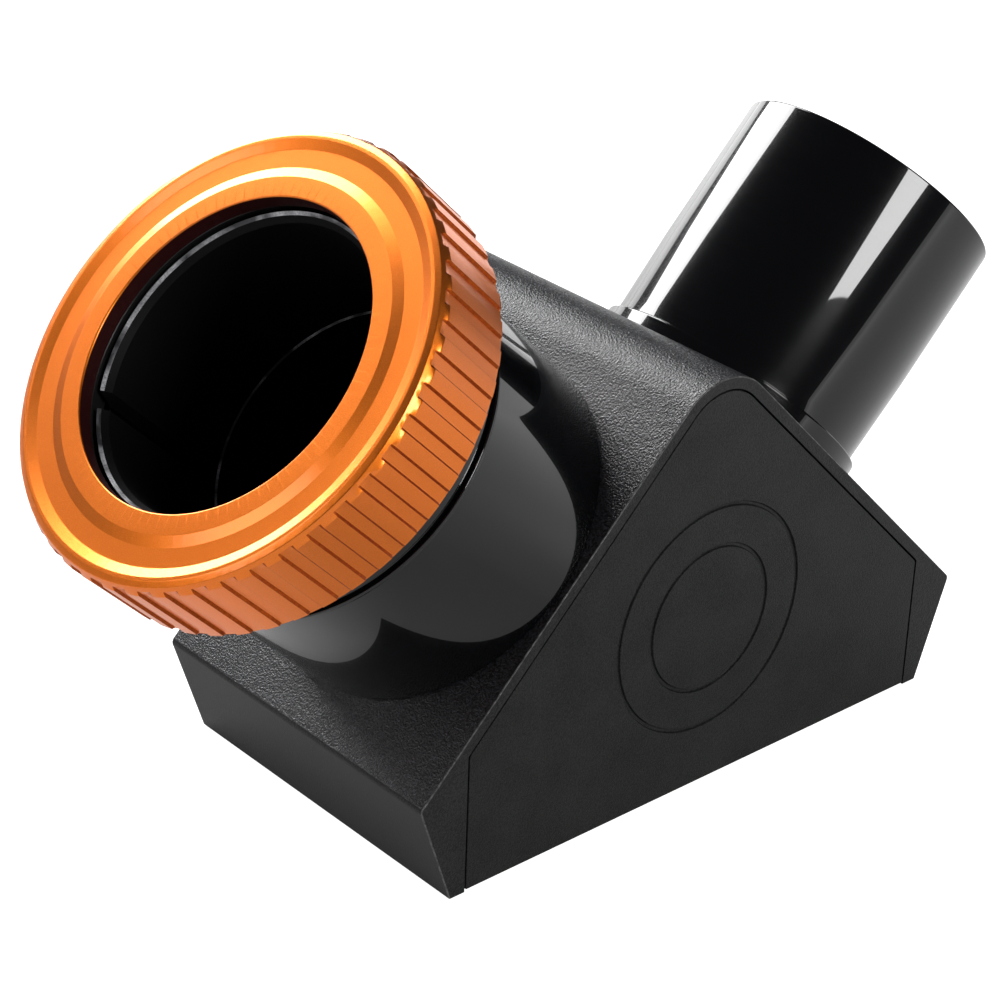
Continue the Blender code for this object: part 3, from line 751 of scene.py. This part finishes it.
def make_cover(name, node, turn, satin, dark):
    near = -HALF_WIDTH
    cover = prism(
        name,
        cover_outline(-COVER_SEAM / 2.0, COVER_LIFT),
        near,
        near + COVER_THICKNESS,
        (satin, dark),
        COVER_EDGE_ROUND,
    )
    width, depth = MEDALLION_GROOVE
    flare, shoulder = MEDALLION_FLARE, MEDALLION_SHOULDER
    tools = []
    for radius in MEDALLION_RADII:
        inner, outer = radius - width / 2.0, radius + width / 2.0
        ring = (
            (inner - flare, -flare),
            (outer + flare, -flare),
            (outer, shoulder, 0.15),
            (outer, depth, 0.2),
            (inner, depth, 0.2),
            (inner, shoulder, 0.15),
        )
        tool = turned("ring_tool", ring, (), segments=GROOVE_SEGMENTS)
        tool.data.transform(shift(y=near, z=MEDALLION_Z) @ Matrix.Rotation(-math.pi / 2.0, 4, "X"))
        tools.append(tool)
    cut(cover, tools)
    cover.data.transform(Matrix.Rotation(turn, 4, "Z"))
    even_shading(cover)
    stand_for(cover, "housing", "cover_satin", node)


# ---------------------------------------------------------------- tubes

def make_holder(gloss, bore, edge):
    face = LEG_FACE + GAP
    groove_low = RING_CENTRE[1] - RING_SECTION - GAP
    groove_high = RING_CENTRE[1] + RING_SECTION + GAP
    groove_root = RING_CENTRE[0] - RING_SECTION - GAP / 2.0
    corners = (
        (EYEPIECE_STOP_BORE, SPIGOT_START, 0.2),
        (EYEPIECE_STOP_BORE, EYEPIECE_STOP, 0.25),
        (EYEPIECE_BORE, EYEPIECE_STOP),
        (EYEPIECE_BORE, COLLET_SEAT - BORE_CHAMFER, 0.1),
        (EYEPIECE_BORE + BORE_CHAMFER, COLLET_SEAT),
        (COLLET_SEAT_RADIUS, COLLET_SEAT),
        (COLLET_SEAT_RADIUS, NECK_TOP, 0.2),
        (NECK_RADIUS, NECK_TOP, 0.4),
        (NECK_RADIUS, groove_high, 0.2),
        (groove_root, groove_high, 0.2),
        (groove_root, groove_low, 0.2),
        (NECK_RADIUS, groove_low, 0.2),
        (NECK_RADIUS, LIP_TOP),
        (LIP_RADIUS, LIP_TOP, 0.5),
        (LIP_RADIUS, LIP_EDGE, 0.3),
        (LIP_GROOVE_RADIUS, LIP_EDGE, 0.3),
        (LIP_GROOVE_RADIUS, LIP_NECK, 0.3),
        (HOLDER_RADIUS + BEAD, LIP_NECK, 0.3, 5),
        (HOLDER_RADIUS + BEAD, LIP_NECK - 1.5 * BEAD, 0.15),
        (HOLDER_RADIUS, LIP_NECK - 3.0 * BEAD, 0.3),
        (HOLDER_RADIUS, face, 0.25),
        (HOLDER_SPIGOT, face),
        (HOLDER_SPIGOT, SPIGOT_START, 0.2),
    )
    finishes = (gloss, bore, edge)
    holder = turned("eyepiece_tube", corners, finishes, UPRIGHT, LONG_TUBE_SEGMENTS, HOLDER_INSIDE)
    # Faces of the chamfer at the collet seat take the third finish, a painted highlight.
    for face in holder.data.polygons:
        radius, height = math.hypot(face.center.x, face.center.y) / MM, face.center.z / MM
        beside_seat = COLLET_SEAT - BORE_CHAMFER < height < COLLET_SEAT - 0.01
        if beside_seat and radius < EYEPIECE_BORE + BORE_CHAMFER:
            face.material_index = 2
    hole = radial_pin("stop_pin_hole", STOP_PIN_RADIUS + GAP, HOLDER_SPIGOT - OVERCUT, HOLDER_RADIUS)
    cut(holder, [hole])
    holder.data.transform(EYEPIECE_AXIS)
    even_shading(holder)
    stand_for(holder, "housing", "gloss_black", "eyepiece_holder")


def radial_pin(name, radius, inner, outer, finishes=()):
    """A pin that lies across the eyepiece axis at the stop pin's place."""
    corners = ((0.0, inner), (radius, inner, 0.2), (radius, outer, 0.25), (0.0, outer))
    pin = turned(name, corners, finishes, segments=PIN_SEGMENTS)
    spin = Matrix.Rotation(math.radians(STOP_PIN_ANGLE), 4, "Z")
    pin.data.transform(shift(z=STOP_PIN_S) @ spin @ Matrix.Rotation(math.pi / 2.0, 4, "Y"))
    return pin


def make_nosepiece(gloss, bore):
    face = LEG_FACE + GAP
    shoulder = LEG_FACE + NOSE_FLANGE_HEIGHT
    filter_seat = NOSE_END - NOSE_FILTER_DEPTH
    mouth_width, mouth_depth = FILTER_MOUTH
    corners = [
        (NOSE_BORE, SPIGOT_START, 0.2),
        (NOSE_BORE, filter_seat - NOSE_FILTER_STEP, 0.2),
        (NOSE_FILTER_BORE, filter_seat),
    ]
    for turn in range(FILTER_TURNS):
        low = NOSE_END - FILTER_START + turn * FILTER_PITCH
        corners.append((NOSE_FILTER_BORE, low))
        corners.append((NOSE_FILTER_BORE + FILTER_THREAD_DEPTH, low + FILTER_PITCH / 2.0))
    corners += [
        (NOSE_FILTER_BORE, NOSE_END - mouth_depth),
        (NOSE_FILTER_BORE + mouth_width, NOSE_END, 0.1),
        (NOSE_RADIUS, NOSE_END, 0.4),
        (NOSE_RADIUS, NOSE_TAPER_START),
        (NOSE_ROOT_RADIUS, shoulder + NOSE_LAND),
        (NOSE_ROOT_RADIUS, shoulder, 0.2),
        (NOSE_FLANGE, shoulder, 0.4),
        (NOSE_FLANGE, face, 0.25),
        (NOSE_SPIGOT, face),
        (NOSE_SPIGOT, SPIGOT_START, 0.2),
    ]
    nose = turned("nose_tube", corners, (gloss, bore), NOSE_AXIS, LONG_TUBE_SEGMENTS, NOSE_INSIDE)
    even_shading(nose)
    stand_for(nose, "housing", "gloss_black", "nosepiece")


# ---------------------------------------------------------------- twist lock

def collet_radius(height):
    run = COLLET_TIP[1] - COLLET_CONE_START
    return COLLET_OUTER + (COLLET_TIP[0] - COLLET_OUTER) * (height - COLLET_CONE_START) / run


def make_collet(finish, bore, edge):
    tip_radius, tip = COLLET_TIP
    edge_radius = tip_radius - COLLET_EDGE_INSET
    corners = (
        (COLLET_BORE, COLLET_SEAT + GAP, 0.3),
        (COLLET_BORE, tip - COLLET_LEAD_IN, 0.2),
        (edge_radius - COLLET_EDGE, tip - COLLET_EDGE, 0.03),
        (edge_radius, tip, 0.03),
        (tip_radius, tip - COLLET_TIP_CHAMFER, 0.03),
        (COLLET_OUTER, COLLET_CONE_START, 0.4),
        (COLLET_OUTER, COLLET_SEAT + GAP, 0.2),
    )
    collet = turned("clamp_collet", corners, (finish, bore, edge), inside=edge_radius)
    # Faces at the front edge take the third finish, a painted highlight.
    for face in collet.data.polygons:
        if face.center.z > (tip - COLLET_EDGE) * MM:
            face.material_index = 2
    low, high = COLLET_SEAT - OVERCUT, tip + OVERCUT
    near, far = COLLET_BORE - OVERCUT, COLLET_OUTER + OVERCUT
    outline = ((near, low), (far, low), (far, high), (near, high))
    slit = prism("slit_tool", outline, -SLIT_WIDTH / 2.0, SLIT_WIDTH / 2.0, ())
    slit.data.transform(Matrix.Rotation(math.radians(SLIT_ANGLE), 4, "Z"))
    cut(collet, [slit])
    collet.data.transform(EYEPIECE_AXIS)
    even_shading(collet)
    stand_for(collet, "housing", "black_nylon", "split_collet")


def make_slip_ring(finish):
    corners = []
    low, high = SLIP_SPAN
    for height, extra in ((low, 0.0), (low, SLIP_WALL), (high, SLIP_WALL), (high, 0.0)):
        corners.append((collet_radius(height) + SLIP_CLEARANCE + extra, height, 0.2))
    ring = turned("thrust_ring", corners, (finish,), EYEPIECE_AXIS)
    stand_for(ring, "slip", "black_nylon", "slip_ring")


def make_drag_ring(finish):
    radius, height = RING_CENTRE
    section = []
    for step in range(RING_SECTION_SEGMENTS):
        angle = 2.0 * math.pi * step / RING_SECTION_SEGMENTS
        section.append((radius + RING_SECTION * math.cos(angle), height + RING_SECTION * math.sin(angle)))
    ring = turned("friction_o_ring", section, (finish,), EYEPIECE_AXIS)
    stand_for(ring, "housing", "rubber", "drag_o_ring")


def make_stop_pin(finish):
    pin = radial_pin("turn_stop_pin", STOP_PIN_RADIUS, *STOP_PIN_SPAN, (finish,))
    pin.data.transform(EYEPIECE_AXIS)
    stand_for(pin, "housing", "blackened_steel", "stop_pin")


def collar_profile():
    """(radius, height, lift) round the collar's section, where lift is the share of a tooth's height."""
    clearance = SLIP_CLEARANCE + SLIP_WALL + GAP
    cone_end = SLIP_SPAN[0] - GAP
    front = COLLAR_FRONT
    rear = COLLAR_REAR
    root = COLLAR_ROOT
    steps = FACE_STEPS
    valley = front - FACE_VALLEY
    valley_floor = (steps[2] - 1.0, valley)
    inner = rounded(
        (
            valley_floor,
            (steps[1], valley, 0.6, 3),
            (steps[0], front, 0.6, 3),
            (COLLAR_OPENING, front, 0.3, 4),
            (COLLAR_OPENING, COLLAR_SHOULDER, 0.3, 3),
            (collet_radius(COLLAR_SHOULDER) + clearance, COLLAR_SHOULDER),
            (collet_radius(cone_end) + clearance, cone_end),
            (COLLAR_THREAD_BORE, cone_end),
            (COLLAR_THREAD_BORE, COLLAR_REAR_STEP),
            (COLLAR_REAR_BORE, COLLAR_REAR_STEP),
            (COLLAR_REAR_BORE, rear, 0.3, 3),
            (REAR_RADIUS, rear),
        )
    )
    outer = rounded(
        (
            (root, front - TOOTH_END),
            (RIM_RADIUS, front - RIM_CHAMFER, 0.3, 4),
            (RIM_EDGE, front, 0.6, 3),
            (steps[3], front, 0.6, 3),
            (steps[2], valley, 0.6, 3),
            valley_floor,
        )
    )
    section = [(radius, height, 0.0) for radius, height in inner]
    rise = (root - REAR_RADIUS) / (COLLAR_TOOTH - REAR_RADIUS)
    section.append((root, rear + REAR_CHAMFER * rise, 0.0))
    end = front - TOOTH_END
    start = end - TOOTH_CHAMFER
    run = start - TOOTH_RUN_END - rear - REAR_CHAMFER
    for step in range(TOOTH_RUN_STEPS + 1):
        section.append((root, rear + REAR_CHAMFER + run * step / TOOTH_RUN_STEPS, 1.0))
    for share in (0.06, 0.2, 0.5, 0.8, 0.94):
        section.append((root, start + TOOTH_CHAMFER * share, 1.0 - share))
    section.append((root, end, 0.0))
    section += [(radius, height, 0.0) for radius, height in outer[1:-1]]
    return section


def collar_stations():
    """(angle, crest share) round the grip, crowded on the flanks of the teeth."""
    pitch = 2.0 * math.pi / COLLAR_TEETH
    half = FLANK_WIDTH / 2.0
    stations = []
    for tooth in range(COLLAR_TEETH):
        for centre, rising in ((-half, True), (0.5 + half, False)):
            for step, share in FLANK_STEPS:
                angle = (tooth + centre + step * FLANK_WIDTH) * pitch
                stations.append((angle, share if rising else 1.0 - share))
            middle = 0.25 if rising else 0.75
            stations.append(((tooth + middle) * pitch, 1.0 if rising else 0.0))
    return stations


def make_collar(finish, shaded, flank):
    section = collar_profile()
    stations = collar_stations()
    bm = bmesh.new()
    columns = []
    for angle, crest in stations:
        turn = Matrix.Rotation(angle + COLLAR_PHASE, 4, "Z")
        column = []
        for radius, height, lift in section:
            lifted = radius + crest * lift * (COLLAR_TOOTH - COLLAR_ROOT)
            column.append(bm.verts.new(turn @ (Vector((lifted, 0.0, height)) * MM)))
        columns.append(column)
    count = len(section)
    for place, left in enumerate(columns):
        after = (place + 1) % len(columns)
        right = columns[after]
        sloping = stations[place][1] != stations[after][1]
        for low in range(count):
            high = (low + 1) % count
            face = bm.faces.new((left[low], left[high], right[high], right[low]))
            # Flank faces of the teeth take the third finish, which is painted shade.
            if sloping and section[low][2] and section[high][2]:
                face.material_index = 2
                continue
            # Deep faces within the opening take the second finish, dark maroon painted shade.
            middle = face.calc_center_median()
            deep = middle.z < (COLLAR_FRONT - FACE_VALLEY - 0.1) * MM
            face.material_index = int(deep and math.hypot(middle.x, middle.y) < SHADED_WITHIN * MM)
    collar = add_object("collar_grip", mesh_from(bm, "collar_grip", (finish, shaded, flank), 32.0))
    cut(collar, [stop_slot()])
    collar.data.transform(EYEPIECE_AXIS)
    even_shading(collar)
    stand_for(collar, "collar", "orange_anodised", "twist_collar")


def stop_slot():
    """The arc that the stop pin runs in."""
    margin = math.degrees((STOP_PIN_RADIUS + GAP) / NECK_RADIUS) + STOP_SLOT_MARGIN
    low = STOP_PIN_S - STOP_PIN_RADIUS - GAP
    high = STOP_PIN_S + LOCK_ADVANCE + STOP_PIN_RADIUS + GAP
    near, far = COLLAR_THREAD_BORE - STOP_SLOT_DEPTH, STOP_PIN_SPAN[1] + STOP_SLOT_DEPTH
    bm = bmesh.new()
    columns = []
    for step in range(STOP_SLOT_STEPS + 1):
        share = step / STOP_SLOT_STEPS
        angle = STOP_PIN_ANGLE - margin + (LOCK_TURN + 2.0 * margin) * share
        turn = Matrix.Rotation(math.radians(angle), 4, "Z")
        corners = ((near, low), (far, low), (far, high), (near, high))
        columns.append([bm.verts.new(turn @ (Vector((r, 0.0, z)) * MM)) for r, z in corners])
    bm.faces.new(columns[0])
    bm.faces.new(reversed(columns[-1]))
    for left, right in zip(columns, columns[1:]):
        for low_corner in range(4):
            high_corner = (low_corner + 1) % 4
            corners = (left[low_corner], left[high_corner], right[high_corner], right[low_corner])
            bm.faces.new(corners)
    return add_object("stop_slot_tool", mesh_from(bm, "stop_slot_tool", ()))


# ---------------------------------------------------------------- mirror cell and screws

def block(name, node_box, finishes, edge_round):
    """A rounded block that fills a CAD node's box."""
    low, high = node_box[0] / MM, node_box[1] / MM
    outline = ((low.x, low.z), (high.x, low.z), (high.x, high.z), (low.x, high.z))
    return prism(name, outline, low.y, high.y, finishes, edge_round)


def make_mirror_cell(paint, cloth, glass, black):
    plate = block("mirror_cell_cover", PLATE_BOX, (paint,), 0.25)
    tools = []
    head = BASE_SCREW_HEAD + GAP
    shank = BASE_SCREW_RADIUS + GAP
    top = PLATE_BOX[1].z / MM + OVERCUT
    sink = (
        (0.0, -OVERCUT),
        (head + OVERCUT, -OVERCUT),
        (shank, head - shank),
        (shank, top),
        (0.0, top),
    )
    for x, y in BASE_SCREW_PLACES:
        tool = turned("countersink_tool", sink, (), segments=SCREW_SEGMENTS)
        tool.data.transform(shift(x, y))
        tools.append(tool)
    cut(plate, tools)
    even_shading(plate)
    stand_for(plate, "housing", "base_black", "base_plate")

    pad = block("mirror_felt", PAD_BOX, (cloth,), 0.4)
    stand_for(pad, "housing", "felt", "mirror_pad")
    mirror = block("mirror_glass", MIRROR_BOX, (glass,), 0.3)
    even_shading(mirror)
    stand_for(mirror, "housing", "mirror_coating", "mirror")
    gasket = block("mirror_seal", GASKET_BOX, (black,), 0.2)
    low, high = GASKET_BOX[0].z / MM, GASKET_BOX[1].z / MM
    cut(gasket, [box("window_tool", *WINDOW, low - OVERCUT, high + OVERCUT)])
    stand_for(gasket, "housing", "rubber", "mirror_gasket")


def hex_socket(name, radius, low, high):
    bm = bmesh.new()
    sizes = {"radius1": radius * MM, "radius2": radius * MM, "depth": (high - low) * MM}
    bmesh.ops.create_cone(bm, cap_ends=True, segments=6, **sizes)
    bmesh.ops.translate(bm, verts=bm.verts, vec=(0.0, 0.0, (low + high) / 2.0 * MM))
    return add_object(name, mesh_from(bm, name, ()))


def make_base_screws(finish):
    low = BASE_SCREW_SINK
    socket_radius, socket_depth = BASE_SCREW_SOCKET
    neck = low + BASE_SCREW_HEAD - BASE_SCREW_RADIUS
    corners = (
        (0.0, low),
        (BASE_SCREW_HEAD, low, 0.12),
        (BASE_SCREW_RADIUS, neck, 0.3),
        (BASE_SCREW_RADIUS, BASE_SCREW_TOP - BASE_SCREW_POINT),
        (BASE_SCREW_RADIUS - BASE_SCREW_POINT, BASE_SCREW_TOP),
        (0.0, BASE_SCREW_TOP),
    )
    for number, (x, y) in enumerate(BASE_SCREW_PLACES, 1):
        screw = turned(f"cell_screw_{number}", corners, (finish,), segments=SCREW_SEGMENTS)
        cut(screw, [hex_socket("socket_tool", socket_radius, low - OVERCUT, low + socket_depth)])
        screw.data.transform(shift(x, y))
        even_shading(screw)
        stand_for(screw, "housing", "blackened_steel", f"base_screw_{number}")


def make_grub_screws(finish):
    point_cut, cup_depth, point_height = GRUB_POINT
    socket_radius, socket_depth = GRUB_SOCKET
    for label, axis, spigot in (
        ("holder", EYEPIECE_AXIS, HOLDER_SPIGOT),
        ("nosepiece", NOSE_AXIS, NOSE_SPIGOT),
    ):
        inner = spigot + GAP
        corners = (
            (0.0, inner + cup_depth),
            (GRUB_RADIUS - point_cut, inner),
            (GRUB_RADIUS, inner + point_height, 0.1),
            (GRUB_RADIUS, GRUB_DEPTH, 0.15),
            (0.0, GRUB_DEPTH),
        )
        for side, word in ((-1, "near"), (1, "far")):
            screw = turned(f"{label}_lock_screw_{word}", corners, (finish,), segments=PIN_SEGMENTS)
            low, high = GRUB_DEPTH - socket_depth, GRUB_DEPTH + OVERCUT
            cut(screw, [hex_socket("socket_tool", socket_radius, low, high)])
            screw.data.transform(axis @ grub_turn(side))
            even_shading(screw)
            stand_for(screw, "housing", "blackened_steel", f"{label}_grub_screw_{word}")


# ---------------------------------------------------------------- studio

def point_at(obj, place, aim, roll=0.0):
    """Puts an object at a place in millimetres, looking at the aim, with its roll in degrees."""
    facing = (Vector(aim) - Vector(place)).to_track_quat("-Z", "Y")
    obj.location = Vector(place) * MM
    obj.rotation_euler = (facing @ Quaternion((0.0, 0.0, 1.0), math.radians(roll))).to_euler()


def add_area(name, place, aim, size, radiance, roll=0.0):
    """A rectangular soft box of this radiance."""
    width, height = size[0] * MM, size[1] * MM
    light = bpy.data.lights.new(name, "AREA")
    light.shape = "RECTANGLE"
    light.size = width
    light.size_y = height
    light.energy = radiance * math.pi * width * height
    obj = bpy.data.objects.new(name, light)
    bpy.context.scene.collection.objects.link(obj)
    point_at(obj, place, aim, roll)


def add_octagon(name, place, aim, size, corner, roll, radiance):
    """A glowing soft box with cut corners, hidden from the camera but seen in every reflection."""
    half_x, half_y = size[0] / 2.0, size[1] / 2.0
    cut_x, cut_y = half_x - corner[0], half_y - corner[1]
    outline = []
    for side_x, side_y in ((1.0, 1.0), (-1.0, 1.0), (-1.0, -1.0), (1.0, -1.0)):
        pair = [(side_x * half_x, side_y * cut_y), (side_x * cut_x, side_y * half_y)]
        outline += pair if side_x * side_y > 0.0 else pair[::-1]
    bm = bmesh.new()
    bm.faces.new([bm.verts.new((x * MM, y * MM, 0.0)) for x, y in outline])
    made = bpy.data.materials.new(name)
    made.use_nodes = True
    nodes = made.node_tree.nodes
    glow = nodes.new("ShaderNodeEmission")
    glow.inputs["Strength"].default_value = radiance
    made.node_tree.links.new(glow.outputs[0], nodes["Material Output"].inputs["Surface"])
    mesh = bpy.data.meshes.new(name)
    bm.to_mesh(mesh)
    bm.free()
    mesh.materials.append(made)
    panel = add_object(name, mesh)
    panel.visible_camera = False
    point_at(panel, place, aim, roll)


def add_studio():
    """A large panel behind, an octagon in front, and three weaker glows that fill the dark sides."""
    add_area("back_panel", (108.0, 1278.0, 955.0), (275.0, -82.0, 345.0), (830.0, 1045.0), 13.5, 18.0)
    add_octagon(
        "front_octagon",
        place=(102.0, -1263.0, 742.0),
        aim=(130.0, 0.0, 194.0),
        size=(545.0, 492.0),
        corner=(115.0, 151.0),
        roll=-45.4,
        radiance=14.5,
    )
    add_area("back_glow", (475.0, 1438.0, 152.0), (37.0, 5.0, 87.0), (800.0, 230.0), 2.4)
    add_area("left_key", (-1185.0, 518.0, 769.0), (-75.0, 0.0, 90.0), (520.0, 520.0), 4.2)
    add_area("right_glow", (1190.0, 530.0, 190.0), (0.0, 0.0, 90.0), (900.0, 360.0), 1.1)

    world = bpy.data.worlds.new("studio_air")
    bpy.context.scene.world = world
    world.use_nodes = True
    back = world.node_tree.nodes["Background"]
    back.inputs["Color"].default_value = (0.05, 0.05, 0.055, 1.0)


def add_floor():
    """A pale floor that glows fully for the camera, and less in reflections near the middle, as painted
    shade round the object.
    """
    bm = bmesh.new()
    bmesh.ops.create_grid(bm, x_segments=8, y_segments=8, size=FLOOR_HALF)
    made = Finish("floor_white", Roughness=0.9, Specular_IOR_Level=0.1)
    tone = made.noise(made.place(), 400.0)
    made.feed(made.mix(tone, (0.49, 0.49, 0.49), (0.51, 0.51, 0.51)), "Base Color")
    made.shader.inputs["Emission Color"].default_value = (1.0, 1.0, 1.0, 1.0)
    reach = made.node("VectorMath", operation="LENGTH")
    made.link(made.place(), reach.inputs[0])
    painted_shade_sweep = made.remap(reach.outputs["Value"], *FLOOR_GLOW_REACH, *FLOOR_GLOW)
    seen = made.node("LightPath").outputs["Is Camera Ray"]
    made.feed(made.math("MAXIMUM", painted_shade_sweep, seen), "Emission Strength")
    mesh = mesh_from(bm, "floor", (made.material,))
    if mesh.polygons[0].normal.z < 0.0:
        mesh.flip_normals()
    floor = add_object("floor", mesh)
    floor.location.z = -FLOOR_DROP


def add_camera():
    lens = bpy.data.cameras.new("photo_camera")
    lens.sensor_width = CAMERA_SENSOR
    lens.lens = CAMERA_LENS
    lens.clip_start = CAMERA_CLIP
    camera = bpy.data.objects.new("photo_camera", lens)
    bpy.context.scene.collection.objects.link(camera)
    point_at(camera, CAMERA_PLACE, CAMERA_AIM, CAMERA_ROLL)
    bpy.context.scene.camera = camera


def main():
    add_camera()
    add_studio()
    add_floor()
    bpy.context.scene.view_settings.view_transform = "Standard"

    sand = powder_coat()
    satin = satin_paint("cover_satin", (0.0050, 0.0060, 0.0050), (0.0255, 0.0272, 0.0255), 0.28, 0.07)
    edge_satin = satin_paint("frame_satin", (0.007, 0.007, 0.0075), (0.030, 0.030, 0.031), 0.3, 0.08)
    bore = bore_black("bore_black")
    black_nylon = nylon()
    black_rubber = rubber()
    steel = blackened_steel()
    edge = painted_highlight_edge()

    make_body(sand, edge_satin, rubbed_and_highlit_edge())
    make_cover("cover_panel_near", "side_cover_near", 0.0, satin, bore)
    make_cover("cover_panel_far", "side_cover_far", math.pi, satin, bore)
    make_mirror_cell(edge_satin, felt(), mirror_coating(), black_rubber)
    make_base_screws(steel)
    make_grub_screws(steel)
    make_holder(gloss_black("gloss_black_eyepiece", EYEPIECE_AXIS), bore, edge)
    make_nosepiece(gloss_black("gloss_black_nose", NOSE_AXIS), bore)
    make_collet(black_nylon, bore, edge)
    make_slip_ring(black_nylon)
    make_drag_ring(black_rubber)
    make_stop_pin(steel)
    make_collar(orange_anodised(), shaded_wall(), painted_shade_flank())


main()
